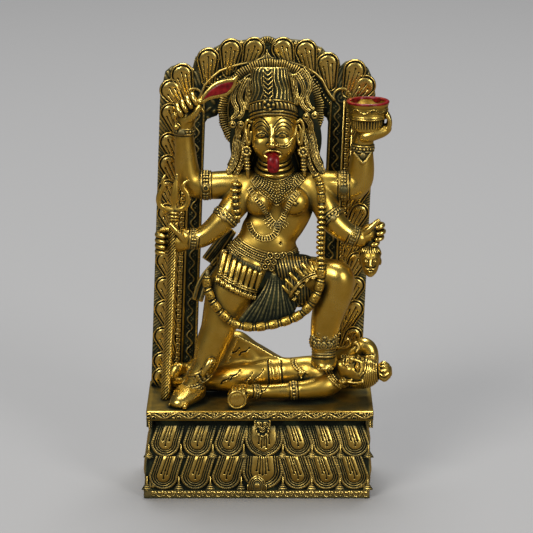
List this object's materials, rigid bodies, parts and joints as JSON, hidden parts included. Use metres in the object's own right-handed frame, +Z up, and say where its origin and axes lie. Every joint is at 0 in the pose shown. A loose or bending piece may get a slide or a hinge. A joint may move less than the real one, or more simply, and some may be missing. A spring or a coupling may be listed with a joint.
{
  "type": "kali figure",
  "caption": "Cast brass figure of a four-armed goddess standing on a reclining figure, with a trident, an arched petal frame and a lotus plinth.",
  "frame": {"origin": "middle of the underside of the plinth, on the surface it stands on", "axes": "+Z up, the front of the figure faces -Y, +X to the viewer's right"},
  "size_m": [0.2453, 0.1016, 0.4426],
  "materials": {
    "polished_brass": "polished high spots over a dark green patina",
    "patinated_brass": "rubbed high spots over a dark green patina",
    "red_paint": "satin, thin"
  },
  "bodies": {
    "root": {"lotus_plinth": "patinated_brass", "deck": "patinated_brass", "arch_frame": "patinated_brass", "kali_figure": "polished_brass", "reclining_figure": "polished_brass", "trident": "polished_brass"}
  },
  "joints": []
}
